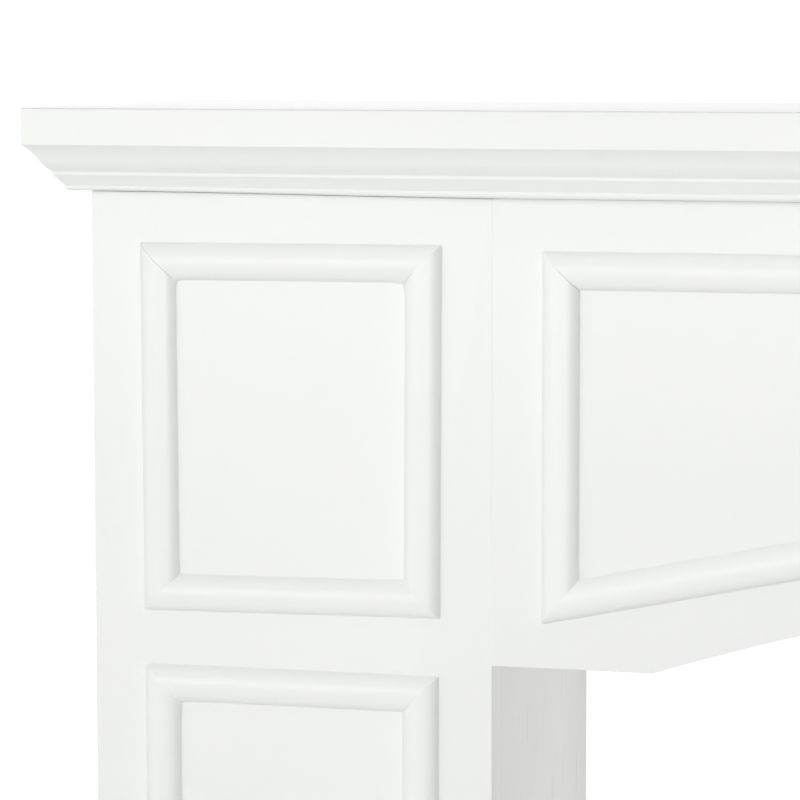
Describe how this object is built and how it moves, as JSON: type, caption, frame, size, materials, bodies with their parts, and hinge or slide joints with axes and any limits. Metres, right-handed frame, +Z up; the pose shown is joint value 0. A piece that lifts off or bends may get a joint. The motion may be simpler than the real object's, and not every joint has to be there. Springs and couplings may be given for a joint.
{
  "type": "fireplace mantelpiece",
  "caption": "Painted fireplace surround with a moulded shelf, a low arched frieze and panelled box legs that frame a hearth opening.",
  "frame": {"origin": "on the floor, under the middle of the shelf's length and depth", "axes": "+X along the shelf to the right as seen from the front, +Y towards the wall, +Z up"},
  "size_m": [1.7144, 0.2686, 1.3565],
  "materials": {
    "shelf": "white eggshell paint",
    "crown": "white eggshell paint",
    "boards": "white eggshell paint",
    "mouldings": "white eggshell paint"
  },
  "bodies": {
    "root": {"shelf_board": "shelf", "crown_front": "crown", "crown_return_left": "crown", "crown_return_right": "crown", "frieze_board": "boards", "leg_front_left": "boards", "leg_front_right": "boards", "leg_inner_return_left": "boards", "leg_inner_return_right": "boards", "leg_outer_return_left": "boards", "leg_outer_return_right": "boards", "frieze_rail_top": "mouldings", "frieze_rail_bottom": "mouldings", "frieze_slope_left": "mouldings", "frieze_slope_right": "mouldings", "frieze_stile_left": "mouldings", "frieze_stile_right": "mouldings", "leg_left_upper_rail_top": "mouldings", "leg_left_upper_rail_bottom": "mouldings", "leg_left_upper_stile_left": "mouldings", "leg_left_upper_stile_right": "mouldings", "leg_left_lower_rail_top": "mouldings", "leg_left_lower_rail_bottom": "mouldings", "leg_left_lower_stile_left": "mouldings", "leg_left_lower_stile_right": "mouldings", "leg_right_upper_rail_top": "mouldings", "leg_right_upper_rail_bottom": "mouldings", "leg_right_upper_stile_left": "mouldings", "leg_right_upper_stile_right": "mouldings", "leg_right_lower_rail_top": "mouldings", "leg_right_lower_rail_bottom": "mouldings", "leg_right_lower_stile_left": "mouldings", "leg_right_lower_stile_right": "mouldings"}
  },
  "joints": []
}
